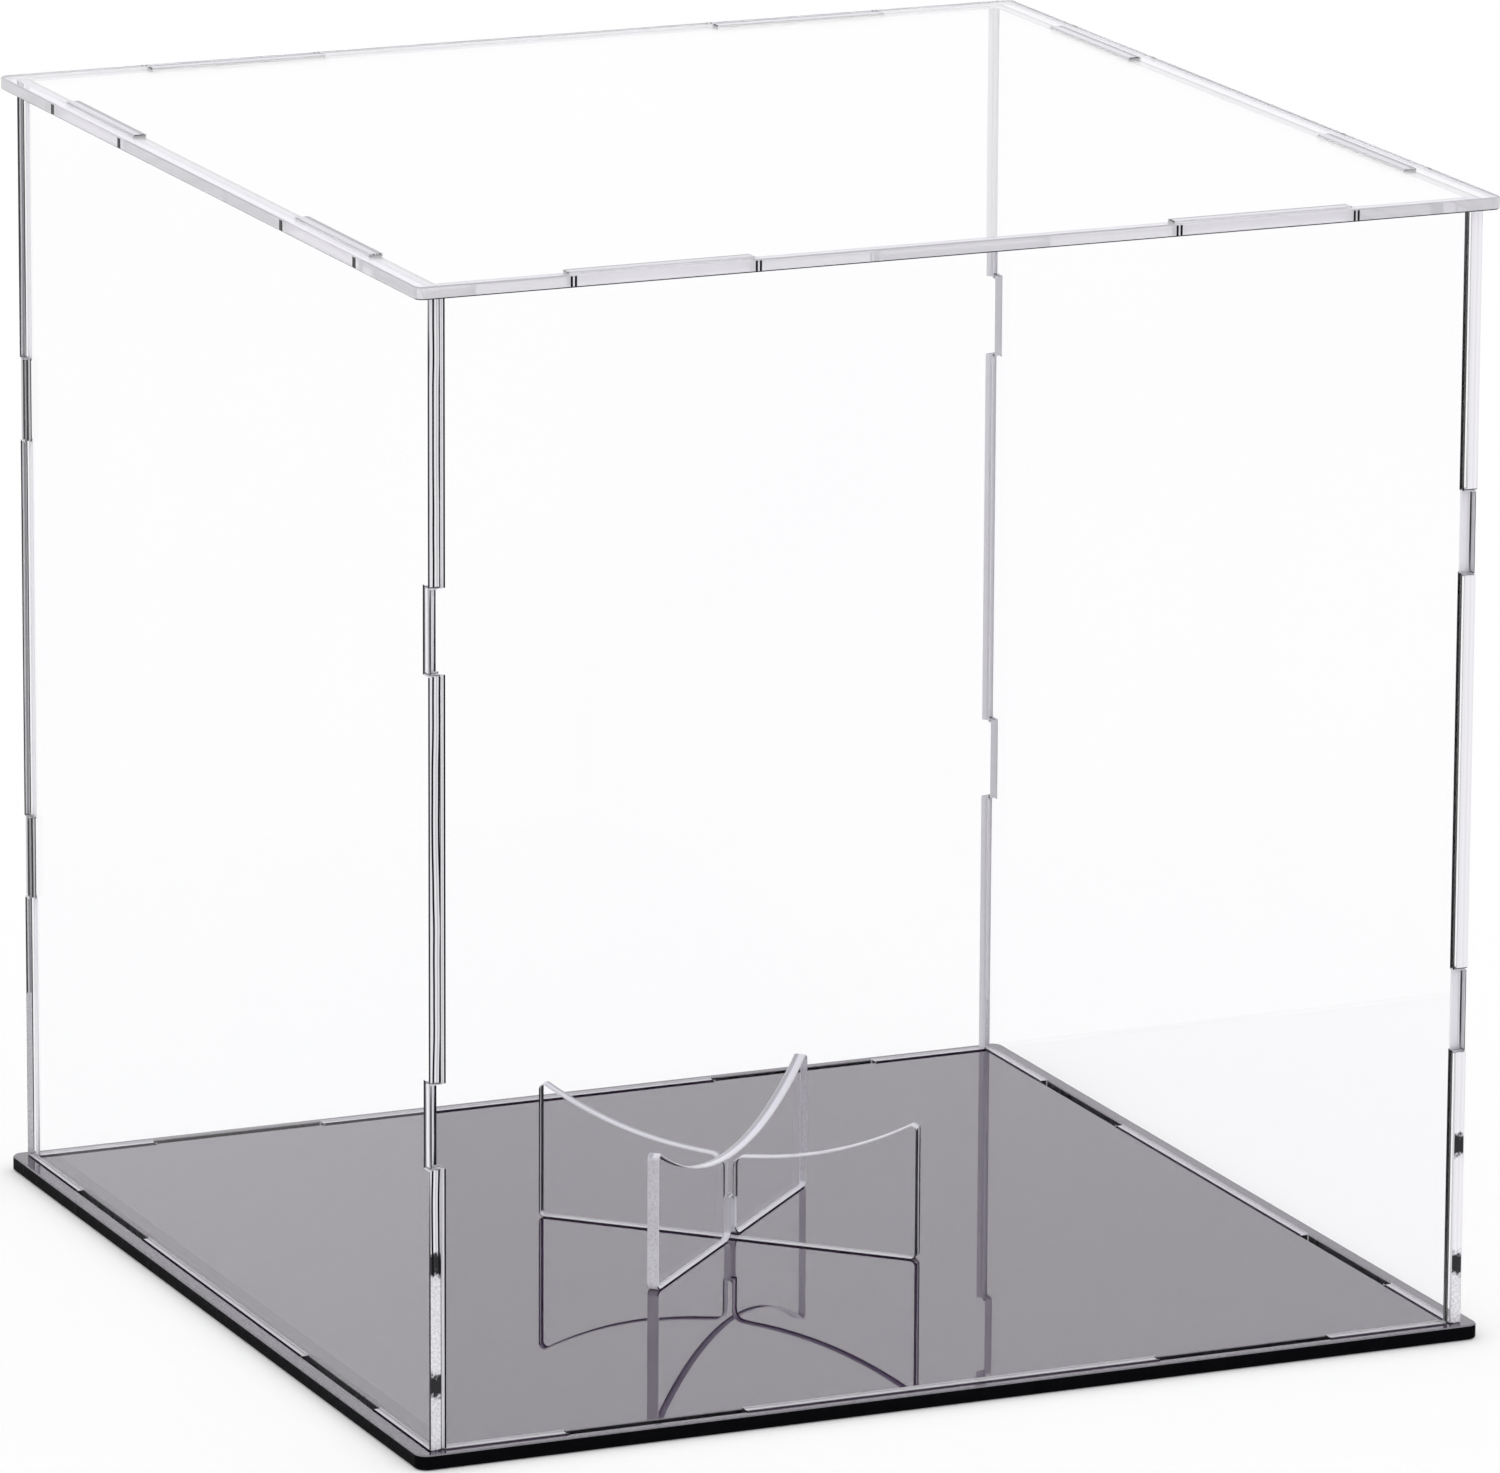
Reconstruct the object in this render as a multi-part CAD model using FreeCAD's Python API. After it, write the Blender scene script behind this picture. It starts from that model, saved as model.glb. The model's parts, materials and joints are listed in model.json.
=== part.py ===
# Display case: clear acrylic panels with tab-and-slot joints on a black base plate,
# with a two-piece crossed stand inside whose upper edges form a round cradle.
# Frame: millimetres, +Z up, origin at the centre of the base plate's underside, front towards -Y.
import FreeCAD, Part
import os

Vector = FreeCAD.Vector
UP = Vector(0, 0, 1)
ACROSS = Vector(0, 1, 0)

# Base plate and top panel
PLATE_SIZE = 270.0
PLATE_EDGE_BREAK = 0.3
BASE_THICKNESS = 3.6
BASE_CORNER_RADIUS = 3.0
TOP_THICKNESS = 3.0
TOP_CORNER_RADIUS = 2.2

# Upright panels, and how far the plates reach past their outer faces
PANEL_THICKNESS = 3.0
PANEL_HEIGHT = 268.0
SIDE_OVERHANG = 3.7
FRONT_OVERHANG = 2.7

# Tabs on the panels' upper and lower edges, which the plates' slots take
TAB_LENGTH = 45.0
TAB_FROM_PLATE_EDGE = 37.7
TAB_ABOVE_TOP = 0.2
TAB_SHORT_OF_UNDERSIDE = 0.4

# Upright ends of the front and back panels, with fingers that the side panels' notches take
END_CHAMFER = 0.9
FINGER_LENGTH = 20.0
FINGER_FROM_END = 66.5
FINGER_SHORT_OF_FACE = 0.3

# Crossed stand
STAND_LENGTH = 98.0
STAND_THICKNESS = 3.0
STAND_HEIGHT = 33.6
STAND_CORNER_RADIUS = 1.5
STAND_ANGLE = 45.0
CRADLE_RADIUS = 95.0
CRADLE_HEIGHT = 21.0
LEAD_IN_RADIUS = 3.0

# Fits, each as the gap on one side
SLOT_CLEARANCE = 0.12
LAP_CLEARANCE = 0.1
SEAT_GAP = 0.05

# Places that follow from the sizes above
SEAT = BASE_THICKNESS + SEAT_GAP
PANEL_TOP = SEAT + PANEL_HEIGHT
TOP_BOTTOM = PANEL_TOP + SEAT_GAP
TOP_SURFACE = TOP_BOTTOM + TOP_THICKNESS
PLATE_HALF = PLATE_SIZE / 2
SIDE_FACE = PLATE_HALF - SIDE_OVERHANG
FRONT_FACE = PLATE_HALF - FRONT_OVERHANG
TAB_FAR = PLATE_HALF - TAB_FROM_PLATE_EDGE
TAB_NEAR = TAB_FAR - TAB_LENGTH
TAB_SPANS = ((-TAB_FAR, -TAB_NEAR), (TAB_NEAR, TAB_FAR))
FINGER_STARTS = (SEAT + FINGER_FROM_END, PANEL_TOP - FINGER_FROM_END - FINGER_LENGTH)
LAP_HEIGHT = CRADLE_HEIGHT / 2


def block(low, high):
    """Box between two opposite corners."""
    size = [high[axis] - low[axis] for axis in range(3)]
    return Part.makeBox(*size, Vector(*low))


def turned(shape, angle):
    """Copy of a shape turned about the vertical centre line."""
    return shape.rotated(Vector(), UP, angle)


def edges_along(shape, direction):
    """Straight edges of a shape that run in a direction."""
    found = []
    for edge in shape.Edges:
        run = edge.lastVertex().Point - edge.firstVertex().Point
        if run.cross(direction).Length < 1e-6 * run.Length:
            found.append(edge)
    return found


def plate_blank(bottom, thickness, corner_radius):
    """Square plate with rounded corners and broken upper and lower rims."""
    low = (-PLATE_HALF, -PLATE_HALF, bottom)
    high = (PLATE_HALF, PLATE_HALF, bottom + thickness)
    plate = block(low, high)
    plate = plate.makeFillet(corner_radius, edges_along(plate, UP))
    uprights = edges_along(plate, UP)
    rims = [edge for edge in plate.Edges if not any(edge.isSame(upright) for upright in uprights)]
    return plate.makeChamfer(PLATE_EDGE_BREAK, rims)


def tab_slots(bottom, top):
    """Slots through a plate for the tabs of all four panels."""
    slots = []
    for face, angles in ((FRONT_FACE, (0, 180)), (SIDE_FACE, (90, 270))):
        for near, far in TAB_SPANS:
            low = (near - SLOT_CLEARANCE, -face - SLOT_CLEARANCE, bottom)
            high = (far + SLOT_CLEARANCE, -face + PANEL_THICKNESS + SLOT_CLEARANCE, top)
            slots += [turned(block(low, high), angle) for angle in angles]
    return slots


def base_plate():
    plate = plate_blank(0, BASE_THICKNESS, BASE_CORNER_RADIUS)
    return plate.cut(tab_slots(0, BASE_THICKNESS))


def top_panel():
    plate = plate_blank(TOP_BOTTOM, TOP_THICKNESS, TOP_CORNER_RADIUS)
    return plate.cut(tab_slots(TOP_BOTTOM, TOP_SURFACE))


def panel_blank(face, half_width):
    """Upright panel without tabs, drawn on the front side, its outer face at a distance from the centre."""
    return block((-half_width, -face, SEAT), (half_width, -face + PANEL_THICKNESS, PANEL_TOP))


def tabbed_panel(panel, face, fingers, notches):
    """Panel with two tabs that go up through the top panel and two that go down into the base plate.

    Fingers and notches are spans across the panel, repeated at both finger heights.
    """
    outside = -face
    inside = -face + PANEL_THICKNESS
    added = []
    for near, far in TAB_SPANS:
        added.append(block((near, outside, TAB_SHORT_OF_UNDERSIDE), (far, inside, SEAT)))
        added.append(block((near, outside, PANEL_TOP), (far, inside, TOP_SURFACE + TAB_ABOVE_TOP)))
    for start in FINGER_STARTS:
        end = start + FINGER_LENGTH
        added += [block((low, outside, start), (high, inside, end)) for low, high in fingers]
        for low, high in notches:
            bottom = (low, outside, start - SLOT_CLEARANCE)
            top = (high, inside, end + SLOT_CLEARANCE)
            panel = panel.cut(block(bottom, top))
    return panel.fuse(added).removeSplitter()


def front_panel():
    """Panel between the side panels, with fingers that pass through their notches."""
    half = SIDE_FACE - PANEL_THICKNESS - SLOT_CLEARANCE
    panel = panel_blank(FRONT_FACE, half)
    middle = -FRONT_FACE + PANEL_THICKNESS / 2
    outer_edges = [edge for edge in edges_along(panel, UP) if edge.CenterOfMass.y < middle]
    panel = panel.makeChamfer(END_CHAMFER, outer_edges)
    root = half - END_CHAMFER
    tip = SIDE_FACE - FINGER_SHORT_OF_FACE
    return tabbed_panel(panel, FRONT_FACE, ((-tip, -root), (root, tip)), ())


def side_panel():
    """Panel that runs through to both corners, with open notches for the fingers."""
    floor = FRONT_FACE - PANEL_THICKNESS - SLOT_CLEARANCE
    panel = panel_blank(SIDE_FACE, FRONT_FACE)
    return tabbed_panel(panel, SIDE_FACE, (), ((-FRONT_FACE, -floor), (floor, FRONT_FACE)))


def stand_slab(half_width, bottom, top):
    """Block on the stand's centre line, thick enough to cut right through a stand plate."""
    return block((-half_width, -STAND_THICKNESS, bottom), (half_width, STAND_THICKNESS, top))


def stand_rod(radius, x, z):
    """Round bar across a stand plate, thick enough to cut right through it."""
    return Part.makeCylinder(radius, 2 * STAND_THICKNESS, Vector(x, -STAND_THICKNESS, z), ACROSS)


def stand_blank():
    """Stand plate along X with rounded corners, hollowed on top as a round cradle."""
    half = STAND_LENGTH / 2
    side = STAND_THICKNESS / 2
    plate = block((-half, -side, 0), (half, side, STAND_HEIGHT))
    plate = plate.makeFillet(STAND_CORNER_RADIUS, edges_along(plate, ACROSS))
    return plate.cut(stand_rod(CRADLE_RADIUS, 0, CRADLE_HEIGHT + CRADLE_RADIUS))


def lap_slot(mouth, end):
    """Half-lap slot on the centre line, from beyond its rounded mouth to its closed end."""
    inward = LEAD_IN_RADIUS if end > mouth else -LEAD_IN_RADIUS
    shoulder = mouth + inward
    beyond = mouth - inward
    half = STAND_THICKNESS / 2 + LAP_CLEARANCE
    wide = half + LEAD_IN_RADIUS
    slot = stand_slab(half, min(beyond, end), max(beyond, end))
    lead_in = stand_slab(wide, min(beyond, shoulder), max(beyond, shoulder))
    rounds = [stand_rod(LEAD_IN_RADIUS, x, shoulder) for x in (-wide, wide)]
    return slot.fuse(lead_in.cut(rounds))


def stand_plate(slot, angle):
    """Stand plate with its half-lap slot, on its diagonal and on the base plate."""
    return turned(stand_blank().cut(slot), angle).translated(UP * SEAT)


def build():
    front = front_panel()
    side = side_panel()
    nodes = {
        "base_plate": base_plate(),
        "top_panel": top_panel(),
        "front_panel": front,
        "back_panel": turned(front, 180),
        "left_panel": turned(side, 270),
        "right_panel": turned(side, 90),
        "stand_lower_plate": stand_plate(lap_slot(CRADLE_HEIGHT, LAP_HEIGHT - LAP_CLEARANCE), -STAND_ANGLE),
        "stand_upper_plate": stand_plate(lap_slot(0, LAP_HEIGHT), STAND_ANGLE),
    }
    os.makedirs("parts", exist_ok=True)
    for name, shape in nodes.items():
        shape.exportStep("parts/" + name + ".step")
        print("%-18s solids %d  volume %.1f mm3" % (name, len(shape.Solids), shape.Volume))


build()
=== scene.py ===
# Looks of the display case: clear and black acrylic sheet, a white studio, and the camera.
import json
import math
from dataclasses import dataclass

import bmesh
import bpy
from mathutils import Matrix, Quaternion, Vector


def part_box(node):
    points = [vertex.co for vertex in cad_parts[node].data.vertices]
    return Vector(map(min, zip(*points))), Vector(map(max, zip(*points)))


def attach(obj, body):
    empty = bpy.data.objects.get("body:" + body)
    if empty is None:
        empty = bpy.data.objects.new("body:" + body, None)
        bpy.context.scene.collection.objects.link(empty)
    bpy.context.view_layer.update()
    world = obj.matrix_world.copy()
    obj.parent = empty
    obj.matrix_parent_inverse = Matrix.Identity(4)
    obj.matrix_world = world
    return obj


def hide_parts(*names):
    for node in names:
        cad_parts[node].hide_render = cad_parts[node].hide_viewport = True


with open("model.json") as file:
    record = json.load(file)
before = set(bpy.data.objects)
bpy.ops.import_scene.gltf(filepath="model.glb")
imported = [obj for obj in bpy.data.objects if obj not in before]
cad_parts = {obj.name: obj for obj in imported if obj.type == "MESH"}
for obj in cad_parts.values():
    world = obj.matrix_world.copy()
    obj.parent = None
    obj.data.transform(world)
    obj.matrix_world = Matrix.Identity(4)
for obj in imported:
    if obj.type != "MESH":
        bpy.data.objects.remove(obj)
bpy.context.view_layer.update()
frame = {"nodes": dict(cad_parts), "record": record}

# Directions
UP = Vector((0, 0, 1))
RIGHT = Vector((1, 0, 0))
BACK = Vector((0, 1, 0))
DIAGONAL = math.sqrt(0.5)
TO_BACK_RIGHT = Vector((DIAGONAL, DIAGONAL, 0))
TO_BACK_LEFT = Vector((-DIAGONAL, DIAGONAL, 0))

# Places read from the frame, in metres: a reach is a distance from the centre line
BASE_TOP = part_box("base_plate")[1].z
PLATE_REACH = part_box("top_panel")[1].x
FRONT_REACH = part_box("back_panel")[1].y
SIDE_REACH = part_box("right_panel")[1].x
SHEET_THICKNESS = SIDE_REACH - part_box("right_panel")[0].x
PANEL_REACH = (FRONT_REACH + SIDE_REACH) / 2
STAND_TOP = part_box("stand_upper_plate")[1].z

# Ends of the tabs, from the middle of a panel, and the reach of edges seated in a slot or in the half-lap
TAB_ENDS = (0.0523, 0.0973)
TAB_REACH = 0.110
LAP_REACH = 0.040

# Lens: pixels of the photograph, and millimetres for the sensor
IMAGE_WIDTH = 1500
FOCAL_LENGTH = 11813
SENSOR_WIDTH = 36.0

# Camera, at the photograph's viewing angle: degrees and metres
CAMERA_AZIMUTH = -23.66
CAMERA_ELEVATION = 14.02
CAMERA_ROLL = 0.29
CAMERA_DISTANCE = 2.823
CAMERA_AIM = Vector((0.0035, -0.0040, 0.1288))

# Studio
WHITE = (1, 1, 1, 1)
FLOOR_SIZE = 12.0
FLOOR_DROP = 0.0002
FLOOR_ALBEDO = (0.9, 0.9, 0.9, 1)
FLOOR_LIFT = 0.1
LIGHT_BOUNCES = 24

# Sheet meshes: metres, square metres and radians
PLATE_ROUND = 0.0002
PANEL_ROUND = 0.0003
ROUND_SEGMENTS = 2
ROUND_PROFILE = 0.5
ROUNDED_ANGLE = math.radians(60)
CREASE_ANGLE = math.radians(20)
FLAT_ANGLE = math.radians(0.5)
FLAT_AREA = 2e-5
MERGE_DISTANCE = 0.00015

# Which way a polygon faces, as shares of a direction
FACE_FACING = 0.95
SLANT_TOLERANCE = 0.05
UPRIGHT_RISE = 0.1
BROKEN_EDGE_RISE = 0.3

# Polished faces of clear acrylic.
# Upright ones bend light less than real acrylic does, so that they mirror as little as in the photograph.
TOP_IOR = 1.49
FACE_IOR = 1.10
HAZE_TINT = (0.985, 0.985, 0.995, 1)
HAZE_SCALE = 9.0
HAZE_DETAIL = 3
# Painted reflection: a lavender tint on the top face, beyond where the panels stand under it
PAINTED_OVERHANG_REFLECTION = (0.92, 0.90, 0.97, 1)

# Cut edges of clear acrylic: tints, metres, and shades from 0, black, to 1, white, which are painted shade
# and painted reflections
EDGE_IOR = 1.49
EDGE_ROUGHNESS = 0.02
EDGE_GLOSS = 0.05
# Black of the painted shade and painted reflections on cut edges
PAINTED_SHADE_BLACK = (0.006, 0.006, 0.008, 1)
EDGE_TINT = (0.97, 0.955, 1.0, 1)
FROST_TINT = (0.86, 0.85, 0.92, 1)
FROST_CLEARNESS = 0.2
FOOT_CLEARNESS = 0.02
FOOT_HEIGHT = BASE_TOP + 0.0014
FOOT_FADE = 0.001
# Painted shades of rounded edges: light on those above a sheet, darker on those under it and at its ends
UPPER_ROUND = 0.8
BLACK_ROUND = 0.02
DARK_ROUND = 0.04
GREY_ROUND = 0.35
PALE_ROUND = 0.85
CHAMFER_WIDTH = 0.0009

# Where one kind of edge gives way to another: the change's start and end, as shares of a direction that
# the surface faces, or its width in metres
CUT_FACING = (0.30, 0.20)
LEVEL_RISE = (0.3, 0.6)
UPPER_ROUND_RISE = (0.1, 0.3)
LOWER_ROUND_RISE = (-0.1, -0.3)
SIDEWAYS_FACING = (0.4, 0.6)
MIDDLE_FADE = 0.001
REACH_FADE = 0.0005

# Lines across a cut edge: (place from 0 to 1, shade); their dark and grey parts are painted shade and
# reflections
NEAR_LINES = (
    (0.00, 0.10), (0.04, 0.90), (0.20, 1.00), (0.24, 0.95), (0.27, 0.00), (0.40, 0.00),
    (0.43, 1.00), (0.55, 1.00), (0.60, 0.60), (0.66, 0.65), (0.70, 1.00), (0.76, 1.00),
    (0.79, 0.00), (0.93, 0.00), (0.96, 1.00), (1.00, 1.00),
)
NEAR_NOTCH_LINES = (
    (0.00, 0.60), (0.12, 0.45), (0.25, 0.75), (0.36, 0.55), (0.42, 0.05), (0.50, 0.30),
    (0.55, 1.00), (0.74, 1.00), (0.79, 0.00), (0.96, 0.00), (1.00, 0.60),
)
NEAR_CHAMFER_LINES = (
    (0.00, 1.00), (0.30, 1.00), (0.40, 0.50), (0.52, 1.00), (0.62, 1.00), (0.70, 0.00), (1.00, 0.00),
)
FINGER_LINES = ((0.00, 0.35), (0.30, 0.50), (0.42, 1.00), (0.84, 1.00), (0.90, 0.00), (1.00, 0.00))
FAR_LINES = (
    (0.00, 0.00), (0.30, 0.00), (0.36, 1.00), (0.50, 1.00), (0.56, 0.40), (0.84, 0.40),
    (0.90, 1.00), (1.00, 1.00),
)
FAR_NOTCH_LINES = ((0.00, 0.55), (0.35, 0.55), (0.40, 0.00), (0.64, 0.00), (0.70, 0.85), (1.00, 1.00))
FAR_FINGER_LINES = ((0.00, 0.70), (0.08, 0.00), (0.50, 0.00), (0.58, 0.60), (1.00, 0.60))
SIDE_LINES = (
    (0.00, 1.00), (0.12, 1.00), (0.24, 0.92), (0.34, 0.96), (0.44, 1.00), (0.56, 0.90),
    (0.66, 0.96), (0.78, 1.00), (0.88, 0.94), (1.00, 1.00),
)
SIDE_NOTCH_LINES = (
    (0.00, 0.90), (0.55, 1.00), (0.64, 0.85), (0.74, 1.00), (0.86, 0.75), (0.94, 0.75), (1.00, 0.95),
)
FAINT_LINES = (
    (0.00, 0.80), (0.08, 1.00), (0.26, 1.00), (0.32, 0.85), (0.38, 1.00), (0.60, 1.00),
    (0.66, 0.90), (0.72, 1.00), (0.92, 1.00), (1.00, 0.80),
)
PALE_LINES = ((0.00, 0.92), (0.15, 1.00), (0.85, 1.00), (1.00, 0.92))
GREY_LINES = ((0.00, 0.70), (0.50, 0.80), (1.00, 0.70))
DARK_LINES = ((0.00, 0.00), (0.40, 0.00), (0.48, 0.80), (0.58, 0.80), (0.66, 0.10), (1.00, 0.00))
BLACK_LINES = ((0.00, 0.00), (1.00, 0.05))
# Lines across lowest edges may start with a painted dark line: the shade in the gap under a sheet
FOOT_LINES = ((0.00, 0.00), (0.06, 0.00), (0.10, 1.00), (1.00, 1.00))
THIN_FOOT_LINES = ((0.00, 0.00), (0.16, 0.00), (0.22, 1.00), (0.66, 1.00), (0.74, 0.60), (1.00, 0.60))
LEVEL_LINES = (
    (0.00, 0.60), (0.08, 0.95), (0.50, 1.00), (0.60, 0.60), (0.78, 0.50), (0.92, 0.60), (1.00, 0.80),
)

# How the lines wander, and the marks on them, with painted shade where slots show through: lengths in
# metres, and scales of noise per metre
WANDER = 0.5
WANDER_SCALE = 25.0
WANDER_DETAIL = 2
NOISE_MIDDLE = 0.5
STREAK_DEPTH = 0.05
STREAKS_PER_METRE = 2500.0
STREAK_LENGTH_SCALE = 6.0
STREAK_DETAIL = 2
FROSTED_SHADES = (0.40, 1.30)
FROSTED_SCALE = 1800.0
FROSTED_DETAIL = 2
FROSTED_FADE = 0.001
# Painted shade on the low ends of the side panels, where the black plate's slots show through
SLOT_SHADE_LENGTH = 0.0065
SLOT_SHADE_RIM = (0.8 * SLOT_SHADE_LENGTH, 0.5 * SLOT_SHADE_LENGTH)
SLOT_SHADE_RAGGEDNESS = 0.5 * SLOT_SHADE_LENGTH
SLOT_SHADE_RAGGED_SCALE = 1500.0
SLOT_SHADE_DETAIL = 1
PAINTED_SLOT_SHADE = 0.03
# Pairs of painted dark lines on the top panel's rim, where the ends of its slots show through
SLOT_END_LINE_APART = 0.0005
SLOT_END_LINE_WIDTH = 0.0004
SIDE_SLOT_END_LINE_WIDTH = 0.0007
SLOT_END_LINE_RIM = (1.0, 0.5)
SLOT_END_LINE_REACH = PLATE_REACH - 0.001

# Black acrylic: its faces, the colour and gloss of its rim and slot walls, and a painted highlight on its
# broken upper edges
BLACK_FACE = (0.032, 0.014, 0.045, 1)
BLACK_IOR = 1.52
BLACK_HAZE_SCALE = 30.0
BLACK_HAZE_DETAIL = 4
BLACK_ROUGHNESS = (0.01, 0.03)
BLACK_COAT = 0.45
BLACK_COAT_ROUGHNESS = 0.01
BLACK_RIM = (0.004, 0.004, 0.005, 1)
RIM_GLOSS = 0.005
BLACK_SLOT = (0.03, 0.03, 0.033, 1)
SLOT_GLOSS = 0.1
# Painted highlight: a lighter grey on the base plate's broken upper edges
PAINTED_HIGHLIGHT_GREY = (0.25, 0.24, 0.27, 1)
PAINTED_HIGHLIGHT_GLOSS = 0.3
SLOTS_REACH = PANEL_REACH + 0.001
SAW_MARK_SCALES = (900, 900, 20)
SAW_MARK_DETAIL = 2
SAW_MARK_DIMMING = 0.6
SAWN_ROUGHNESS = (0.15, 0.45)


@dataclass
class Sheet:
    """What a clear sheet's cut edges look like: lines and rounds of painted shade and painted reflections.

    axis and along: the ways its thickness and its length lie.
    ends: lines across its upright edges, on the low and the high side of its length.
    seats, recesses and chamfers: the same for edges that are seated in another sheet, for edges that lie
    behind another sheet and for chamfered edges.
    seat_reach and recess_reach: edges nearer to the centre line than this are such.
    clearness: share of light that the pale parts of its upright edges let through.
    rounds: painted shades of the rounded edges at its low and its high side.
    lower_round: painted shade of the rounded edges under it.
    edge_round: radius of its square edges.
    foot_lines: lines across its lowest edges.
    frosted_below: height under which its upright edges are mottled and have no dark lines.
    painted_slot_shades: heights of painted shade on its low end, where the black plate's slots show
    through.
    painted_slot_end_lines: distances from the middle of its rim to pairs of painted dark lines, where the
    ends of its slots show.
    """
    axis: Vector
    along: Vector
    ends: tuple
    seats: tuple = (BLACK_LINES, BLACK_LINES)
    seat_reach: float = TAB_REACH
    recesses: tuple = ()
    recess_reach: float = 0.0
    chamfers: tuple = ()
    clearness: float = 0.15
    rounds: tuple = (DARK_ROUND, DARK_ROUND)
    lower_round: float = BLACK_ROUND
    edge_round: float = PANEL_ROUND
    foot_lines: tuple = FOOT_LINES
    frosted_below: float = 0.0
    painted_slot_shades: tuple = ()
    painted_slot_end_lines: tuple = ()


SHEETS = {
    "top_panel": Sheet(
        axis=UP,
        along=RIGHT,
        ends=(PALE_LINES, PALE_LINES),
        clearness=0.45,
        edge_round=PLATE_ROUND,
        painted_slot_end_lines=TAB_ENDS,
    ),
    "front_panel": Sheet(
        axis=BACK,
        along=RIGHT,
        ends=(FINGER_LINES, PALE_LINES),
        recesses=(BLACK_LINES, BLACK_LINES),
        recess_reach=SIDE_REACH - SHEET_THICKNESS / 2,
        chamfers=(NEAR_CHAMFER_LINES, BLACK_LINES),
        lower_round=GREY_ROUND,
        foot_lines=PALE_LINES,
    ),
    "back_panel": Sheet(
        axis=BACK,
        along=RIGHT,
        ends=(FAR_FINGER_LINES, PALE_LINES),
        recesses=(PALE_LINES, PALE_LINES),
        recess_reach=SIDE_REACH - SHEET_THICKNESS / 2,
        chamfers=(PALE_LINES, PALE_LINES),
        rounds=(PALE_ROUND, PALE_ROUND),
    ),
    "left_panel": Sheet(
        axis=RIGHT,
        along=BACK,
        ends=(NEAR_LINES, FAR_LINES),
        recesses=(NEAR_NOTCH_LINES, FAR_NOTCH_LINES),
        recess_reach=FRONT_REACH - SHEET_THICKNESS / 2,
        foot_lines=THIN_FOOT_LINES,
        frosted_below=0.0445,
        painted_slot_shades=(0.0477, 0.0190),
    ),
    "right_panel": Sheet(
        axis=RIGHT,
        along=BACK,
        ends=(SIDE_LINES, PALE_LINES),
        recesses=(SIDE_NOTCH_LINES, PALE_LINES),
        recess_reach=FRONT_REACH - SHEET_THICKNESS / 2,
        clearness=0.05,
        rounds=(PALE_ROUND, PALE_ROUND),
        lower_round=GREY_ROUND,
        foot_lines=PALE_LINES,
        frosted_below=0.0155,
        painted_slot_shades=(0.0474, 0.0184),
    ),
    "stand_lower_plate": Sheet(
        axis=TO_BACK_RIGHT,
        along=-TO_BACK_LEFT,
        ends=(DARK_LINES, DARK_LINES),
        seats=(GREY_LINES, GREY_LINES),
        seat_reach=LAP_REACH,
        clearness=0.3,
    ),
    "stand_upper_plate": Sheet(
        axis=TO_BACK_LEFT,
        along=TO_BACK_RIGHT,
        ends=(FAINT_LINES, PALE_LINES),
        seats=(GREY_LINES, GREY_LINES),
        seat_reach=LAP_REACH,
        clearness=0.3,
        rounds=(PALE_ROUND, PALE_ROUND),
        frosted_below=STAND_TOP,
    ),
}


def add_camera():
    data = bpy.data.cameras.new("camera")
    data.sensor_width = SENSOR_WIDTH
    data.lens = FOCAL_LENGTH * SENSOR_WIDTH / IMAGE_WIDTH
    camera = bpy.data.objects.new("camera", data)
    bpy.context.scene.collection.objects.link(camera)
    azimuth = math.radians(CAMERA_AZIMUTH)
    elevation = math.radians(CAMERA_ELEVATION)
    level = math.cos(elevation)
    away = Vector((math.sin(azimuth) * level, -math.cos(azimuth) * level, math.sin(elevation)))
    roll = Quaternion((0, 0, 1), math.radians(CAMERA_ROLL))
    camera.location = CAMERA_AIM + away * CAMERA_DISTANCE
    camera.rotation_mode = "QUATERNION"
    camera.rotation_quaternion = (-away).to_track_quat("-Z", "Y") @ roll
    bpy.context.scene.camera = camera


def add_world():
    world = bpy.data.worlds.new("studio")
    world.use_nodes = True
    world.node_tree.nodes["Background"].inputs["Color"].default_value = WHITE
    bpy.context.scene.world = world


def new_material(name):
    material = bpy.data.materials.new(name)
    material.use_nodes = True
    return material, material.node_tree, material.node_tree.nodes["Principled BSDF"]


def floor_material():
    material, tree, shader = new_material("floor")
    shader.inputs["Base Color"].default_value = FLOOR_ALBEDO
    shader.inputs["Roughness"].default_value = 1
    shader.inputs["Specular IOR Level"].default_value = 0
    shader.inputs["Emission Color"].default_value = WHITE
    shader.inputs["Emission Strength"].default_value = FLOOR_LIFT
    return material


def add_floor():
    bpy.ops.mesh.primitive_plane_add(size=FLOOR_SIZE, location=(0, 0, -FLOOR_DROP))
    floor = bpy.context.object
    floor.name = "floor"
    floor.data.materials.append(floor_material())


def add_node(tree, kind, inputs, **settings):
    """New shader node; an input is given a value, or is linked to another node's output."""
    node = tree.nodes.new(kind)
    for name, value in settings.items():
        setattr(node, name, value)
    for key, value in inputs.items():
        if isinstance(value, bpy.types.NodeSocket):
            tree.links.new(value, node.inputs[key])
        else:
            node.inputs[key].default_value = value
    return node


def surface_place(tree):
    """Outputs that give a surface's place and normal in its object's own frame."""
    return add_node(tree, "ShaderNodeTexCoord", {}).outputs


def calculate(tree, operation, first, second=0.0):
    return add_node(tree, "ShaderNodeMath", {0: first, 1: second}, operation=operation).outputs[0]


def absolute(tree, value):
    return calculate(tree, "ABSOLUTE", value)


def distance(tree, value, other):
    """How far a number is from another."""
    return absolute(tree, calculate(tree, "SUBTRACT", value, other))


def dot(tree, vector, axis):
    node = add_node(tree, "ShaderNodeVectorMath", {0: vector, 1: axis}, operation="DOT_PRODUCT")
    return node.outputs["Value"]


def stretched(tree, vector, scales):
    node = add_node(tree, "ShaderNodeVectorMath", {0: vector, 1: scales}, operation="MULTIPLY")
    return node.outputs["Vector"]


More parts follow.
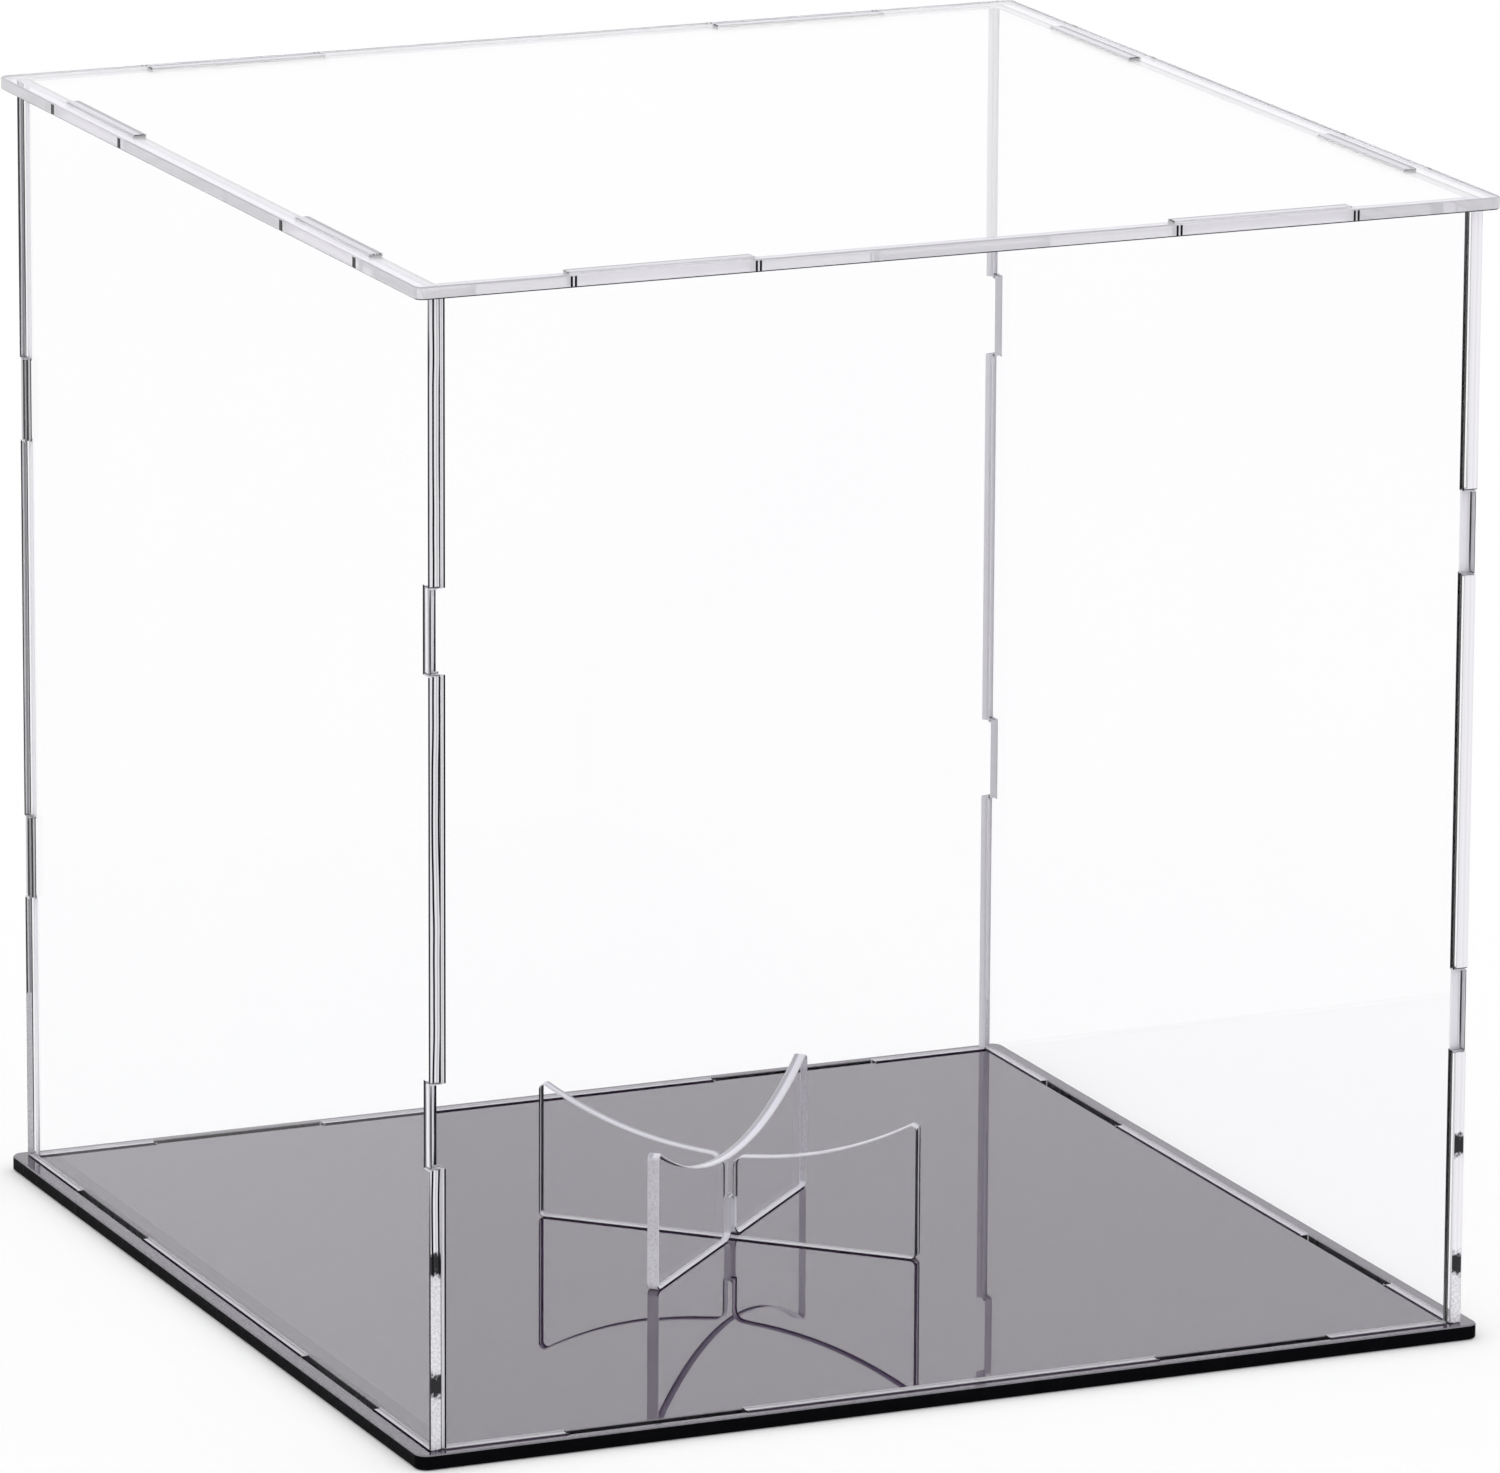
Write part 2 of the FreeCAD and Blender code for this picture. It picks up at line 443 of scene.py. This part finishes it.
def fade(tree, value, start, end):
    """Smooth step that is 0 at start and 1 at end, whichever is larger."""
    inputs = {"Value": value, "From Min": start, "From Max": end}
    node = add_node(tree, "ShaderNodeMapRange", inputs, interpolation_type="SMOOTHSTEP")
    return node.outputs["Result"]


def share_between(tree, value, low, high):
    """Place of a value between two limits, from 0 to 1."""
    limits = {"Value": value, "From Min": low, "From Max": high}
    return add_node(tree, "ShaderNodeMapRange", limits).outputs["Result"]


def blend(tree, share, first, second):
    """Number that goes from first to second as share goes from 0 to 1."""
    return add_node(tree, "ShaderNodeMix", {0: share, 2: first, 3: second}, data_type="FLOAT").outputs[0]


def blend_colours(tree, share, first, second):
    return add_node(tree, "ShaderNodeMix", {0: share, 6: first, 7: second}, data_type="RGBA").outputs[2]


def noise(tree, vector, scale, detail):
    inputs = {"Vector": vector, "Scale": scale, "Detail": detail}
    return add_node(tree, "ShaderNodeTexNoise", inputs).outputs["Fac"]


def stepped_value(tree, place, stops):
    """Number read from (place, value) stops."""
    node = add_node(tree, "ShaderNodeValToRGB", {"Fac": place})
    elements = node.color_ramp.elements
    elements.remove(elements[1])
    for index, (stop, value) in enumerate(stops):
        element = elements[0] if index == 0 else elements.new(stop)
        element.position = stop
        element.color = (value, value, value, 1)
    return node.outputs["Color"]


def level_distances(tree, position):
    """Distances of a place from the centre planes, sideways and front to back."""
    return [absolute(tree, dot(tree, position, axis)) for axis in (RIGHT, BACK)]


def by_end(tree, sheet, position, low, high):
    """Number that a sheet has on the low and on the high side of its length."""
    return blend(tree, fade(tree, dot(tree, position, sheet.along), -MIDDLE_FADE, MIDDLE_FADE), low, high)


def end_lines(tree, sheet, position, share, ends):
    """Shade read from the lines of whichever end of the sheet a place is nearer to."""
    return by_end(tree, sheet, position, *[stepped_value(tree, share, lines) for lines in ends])


def streaked(tree, sheet, position, shade):
    """Shade with fine streaks along a cut edge."""
    scales = sheet.axis * STREAKS_PER_METRE + Vector((STREAK_LENGTH_SCALE,) * 3)
    streaks = noise(tree, stretched(tree, position, scales), 1, STREAK_DETAIL)
    return calculate(tree, "MULTIPLY", shade, blend(tree, streaks, 1, 1 - 2 * STREAK_DEPTH))


def frosted(tree, sheet, position, shade):
    """Shade that is mottled where the sheet's ends are frosted."""
    low = fade(tree, dot(tree, position, UP), sheet.frosted_below + FROSTED_FADE, sheet.frosted_below)
    mottles = blend(tree, noise(tree, position, FROSTED_SCALE, FROSTED_DETAIL), *FROSTED_SHADES)
    return blend(tree, low, shade, calculate(tree, "MINIMUM", mottles, 1.0))


def with_painted_slot_shades(tree, sheet, position, shade):
    """Shade with painted shade on the sheet's low end, where the black plate's slots show through."""
    height = dot(tree, position, UP)
    low_end = fade(tree, dot(tree, position, sheet.along), MIDDLE_FADE, -MIDDLE_FADE)
    ragged = noise(tree, position, SLOT_SHADE_RAGGED_SCALE, SLOT_SHADE_DETAIL)
    rim = calculate(tree, "MULTIPLY", ragged, SLOT_SHADE_RAGGEDNESS)
    for slot_height in sheet.painted_slot_shades:
        off = calculate(tree, "ADD", distance(tree, height, slot_height), rim)
        dark = calculate(tree, "MULTIPLY", fade(tree, off, *SLOT_SHADE_RIM), low_end)
        shade = calculate(tree, "MULTIPLY", shade, blend(tree, dark, 1, PAINTED_SLOT_SHADE))
    return shade


def with_painted_slot_end_lines(tree, sheet, place, reach, shade):
    """Shade with pairs of painted dark lines across the sheet's outer rim, where the ends of its slots
    show.
    """
    sideways = fade(tree, absolute(tree, dot(tree, place["Normal"], RIGHT)), *SIDEWAYS_FACING)
    width = blend(tree, sideways, SLOT_END_LINE_WIDTH, SIDE_SLOT_END_LINE_WIDTH)
    along = calculate(tree, "MINIMUM", *level_distances(tree, place["Object"]))
    rim = fade(tree, reach, SLOT_END_LINE_REACH - REACH_FADE, SLOT_END_LINE_REACH)
    for slot_end in sheet.painted_slot_end_lines:
        off = distance(tree, distance(tree, along, slot_end), SLOT_END_LINE_APART)
        line = fade(tree, calculate(tree, "DIVIDE", off, width), *SLOT_END_LINE_RIM)
        dark = calculate(tree, "MULTIPLY", rim, line)
        shade = calculate(tree, "MULTIPLY", shade, blend(tree, dark, 1, 0))
    return shade


def upright_shade(tree, sheet, place, share, reach):
    """Shade of a sheet's upright edges: lines of painted shade with marks on them, or the lines of hidden
    edges.
    """
    position = place["Object"]
    wander = calculate(tree, "SUBTRACT", noise(tree, position, WANDER_SCALE, WANDER_DETAIL), NOISE_MIDDLE)
    share = calculate(tree, "ADD", share, calculate(tree, "MULTIPLY", wander, WANDER))
    shade = end_lines(tree, sheet, position, share, sheet.ends)
    if sheet.frosted_below:
        shade = frosted(tree, sheet, position, shade)
    shade = streaked(tree, sheet, position, shade)
    if sheet.painted_slot_shades:
        shade = with_painted_slot_shades(tree, sheet, position, shade)
    if sheet.painted_slot_end_lines:
        shade = with_painted_slot_end_lines(tree, sheet, place, reach, shade)
    for lines, limit in ((sheet.recesses, sheet.recess_reach), (sheet.seats, sheet.seat_reach)):
        if lines:
            hidden = fade(tree, reach, limit + REACH_FADE, limit)
            shade = blend(tree, hidden, shade, end_lines(tree, sheet, position, share, lines))
    return shade


def round_shade(tree, sheet, position, rise):
    """Painted shade of a sheet's rounded edges, lighter on those that face up."""
    shade = by_end(tree, sheet, position, *sheet.rounds)
    shade = blend(tree, fade(tree, rise, *UPPER_ROUND_RISE), shade, UPPER_ROUND)
    return blend(tree, fade(tree, rise, *LOWER_ROUND_RISE), shade, sheet.lower_round)


def finish_edge(tree, shader, shade, colour, clearness):
    """Set an edge's shader: what is dark lets no light through and hardly shines."""
    tree.links.new(colour, shader.inputs["Base Color"])
    tree.links.new(calculate(tree, "MULTIPLY", shade, clearness), shader.inputs["Transmission Weight"])
    shader.inputs["Roughness"].default_value = EDGE_ROUGHNESS
    shader.inputs["IOR"].default_value = EDGE_IOR
    shader.inputs["Specular IOR Level"].default_value = EDGE_GLOSS


def cut_edge(name, sheet, span):
    """Cut edges of a clear sheet: frosted where they lie level, and with lines of painted shade and
    reflections.
    """
    material, tree, shader = new_material("cut_edge_" + name)
    place = surface_place(tree)
    position = place["Object"]
    normal = place["Normal"]
    rise = dot(tree, normal, UP)
    reach = absolute(tree, dot(tree, normal, position))
    share = share_between(tree, dot(tree, position, sheet.axis), *span)
    cut = fade(tree, absolute(tree, dot(tree, normal, sheet.axis)), *CUT_FACING)
    level = calculate(tree, "MULTIPLY", cut, fade(tree, absolute(tree, rise), *LEVEL_RISE))
    foot = fade(tree, dot(tree, position, UP), FOOT_HEIGHT + FOOT_FADE, FOOT_HEIGHT)

    shade = round_shade(tree, sheet, position, rise)
    shade = blend(tree, cut, shade, upright_shade(tree, sheet, place, share, reach))
    flat = [stepped_value(tree, share, lines) for lines in (LEVEL_LINES, sheet.foot_lines)]
    shade = blend(tree, level, shade, blend(tree, foot, *flat))

    pale = blend_colours(tree, level, EDGE_TINT, FROST_TINT)
    colour = blend_colours(tree, shade, PAINTED_SHADE_BLACK, blend_colours(tree, foot, pale, EDGE_TINT))
    frost = blend(tree, foot, FROST_CLEARNESS, FOOT_CLEARNESS)
    finish_edge(tree, shader, shade, colour, blend(tree, level, sheet.clearness, frost))
    return material


def end_chamfer(name, sheet, span):
    """Chamfer of a panel's upright end, with lines of painted shade along it."""
    material, tree, shader = new_material("end_chamfer_" + name)
    position = surface_place(tree)["Object"]
    depth = absolute(tree, dot(tree, position, sheet.axis))
    outside = max(abs(end) for end in span)
    share = share_between(tree, depth, outside - CHAMFER_WIDTH, outside)
    shade = end_lines(tree, sheet, position, share, sheet.chamfers)
    finish_edge(tree, shader, shade, blend_colours(tree, shade, PAINTED_SHADE_BLACK, EDGE_TINT), sheet.clearness)
    return material


def polished_face(name, ior, covered_reach=0.0):
    """Clear face with the faintest haze.

    Beyond a covered reach, where one is given, no panel stands under the face, and it is tinted with a
    painted reflection.
    """
    material, tree, shader = new_material(name)
    position = surface_place(tree)["Object"]
    colour = blend_colours(tree, noise(tree, position, HAZE_SCALE, HAZE_DETAIL), WHITE, HAZE_TINT)
    if covered_reach:
        reach = calculate(tree, "MAXIMUM", *level_distances(tree, position))
        beyond = fade(tree, reach, covered_reach - REACH_FADE, covered_reach)
        colour = blend_colours(tree, beyond, colour, PAINTED_OVERHANG_REFLECTION)
    tree.links.new(colour, shader.inputs["Base Color"])
    shader.inputs["Transmission Weight"].default_value = 1
    shader.inputs["Roughness"].default_value = 0
    shader.inputs["IOR"].default_value = ior
    return material


def black_face():
    """Mirror-gloss black acrylic with a trace of haze."""
    material, tree, shader = new_material("black_acrylic_face")
    haze = noise(tree, surface_place(tree)["Object"], BLACK_HAZE_SCALE, BLACK_HAZE_DETAIL)
    shader.inputs["Base Color"].default_value = BLACK_FACE
    tree.links.new(blend(tree, haze, *BLACK_ROUGHNESS), shader.inputs["Roughness"])
    shader.inputs["IOR"].default_value = BLACK_IOR
    shader.inputs["Coat Weight"].default_value = BLACK_COAT
    shader.inputs["Coat Roughness"].default_value = BLACK_COAT_ROUGHNESS
    return material


def black_cut(name, colour, gloss):
    """Sawn black acrylic: a dull colour with fine upright marks of the cut."""
    material, tree, shader = new_material(name)
    place = stretched(tree, surface_place(tree)["Object"], SAW_MARK_SCALES)
    marks = noise(tree, place, 1, SAW_MARK_DETAIL)
    dim = tuple(SAW_MARK_DIMMING * value for value in colour[:3]) + (1,)
    tree.links.new(blend_colours(tree, marks, dim, colour), shader.inputs["Base Color"])
    tree.links.new(blend(tree, marks, *SAWN_ROUGHNESS), shader.inputs["Roughness"])
    shader.inputs["Specular IOR Level"].default_value = gloss
    return material


def rounded_copy(name, radius):
    """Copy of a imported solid's mesh with flat faces joined up and its square edges slightly rounded."""
    made = bmesh.new()
    made.from_mesh(frame["nodes"][name].data)
    bmesh.ops.remove_doubles(made, verts=made.verts, dist=MERGE_DISTANCE)
    bmesh.ops.dissolve_limit(made, angle_limit=FLAT_ANGLE, verts=made.verts, edges=made.edges)
    bmesh.ops.bevel(
        made,
        geom=[edge for edge in made.edges if edge.calc_face_angle_signed(0) > ROUNDED_ANGLE],
        offset=radius,
        segments=ROUND_SEGMENTS,
        profile=ROUND_PROFILE,
        affect="EDGES",
        clamp_overlap=True,
    )
    for face in made.faces:
        face.smooth = face.calc_area() < FLAT_AREA
    for edge in made.edges:
        edge.smooth = edge.calc_face_angle(0) < CREASE_ANGLE
    mesh = bpy.data.meshes.new(name + "_sheet")
    made.to_mesh(mesh)
    made.free()
    piece = bpy.data.objects.new(name + "_sheet", mesh)
    bpy.context.scene.collection.objects.link(piece)
    return piece


def dress(piece, materials, kind_of):
    """Give a piece its materials, and each polygon the one whose key kind_of gives for it."""
    kinds = list(materials)
    for kind in kinds:
        piece.data.materials.append(materials[kind])
    for polygon in piece.data.polygons:
        polygon.material_index = kinds.index(kind_of(polygon))


def body_of(name):
    return next(body for body, nodes in frame["record"]["behaviour"]["bodies"].items() if name in nodes)


def place_piece(piece, name):
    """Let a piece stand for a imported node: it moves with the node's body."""
    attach(piece, body_of(name))
    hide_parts(name)


def clear_kind(polygon, sheet):
    """Which of a clear sheet's materials a polygon takes."""
    facing = abs(polygon.normal.dot(sheet.axis))
    if facing > FACE_FACING:
        return "face"
    slanted = abs(facing - DIAGONAL) < SLANT_TOLERANCE
    upright = abs(polygon.normal.z) < UPRIGHT_RISE
    return "chamfer" if sheet.chamfers and slanted and upright else "edge"


def add_clear_sheet(name, sheet, face):
    piece = rounded_copy(name, sheet.edge_round)
    depths = [sheet.axis.dot(vertex.co) for vertex in piece.data.vertices]
    span = (min(depths), max(depths))
    materials = {"face": face, "edge": cut_edge(name, sheet, span)}
    if sheet.chamfers:
        materials["chamfer"] = end_chamfer(name, sheet, span)
    dress(piece, materials, lambda polygon: clear_kind(polygon, sheet))
    place_piece(piece, name)


def black_kind(polygon):
    """Which of the base plate's materials a polygon takes."""
    rise = polygon.normal.z
    if abs(rise) > FACE_FACING:
        return "face"
    # Broken upper edges take the painted highlight
    if rise > BROKEN_EDGE_RISE:
        return "painted_highlight"
    reach = abs(polygon.normal.dot(polygon.center))
    return "rim" if reach > SLOTS_REACH or rise < -BROKEN_EDGE_RISE else "slot"


def add_base_plate():
    piece = rounded_copy("base_plate", PLATE_ROUND)
    materials = {
        "face": black_face(),
        "rim": black_cut("black_acrylic_rim", BLACK_RIM, RIM_GLOSS),
        "slot": black_cut("black_acrylic_slot", BLACK_SLOT, SLOT_GLOSS),
        "painted_highlight": black_cut("black_acrylic_painted_highlight", PAINTED_HIGHLIGHT_GREY, PAINTED_HIGHLIGHT_GLOSS),
    }
    dress(piece, materials, black_kind)
    place_piece(piece, "base_plate")


def add_clear_sheets():
    top_face = polished_face("clear_acrylic_top", TOP_IOR, PANEL_REACH)
    face = polished_face("clear_acrylic", FACE_IOR)
    for name, sheet in SHEETS.items():
        add_clear_sheet(name, sheet, top_face if name == "top_panel" else face)


def set_up_light_paths():
    """Enough bounces for light that crosses many clear sheets."""
    cycles = bpy.context.scene.cycles
    cycles.max_bounces = LIGHT_BOUNCES
    cycles.glossy_bounces = LIGHT_BOUNCES
    cycles.transmission_bounces = LIGHT_BOUNCES
    cycles.blur_glossy = 0


add_camera()
add_world()
add_floor()
add_base_plate()
add_clear_sheets()
set_up_light_paths()
bpy.context.scene.view_settings.view_transform = "Standard"
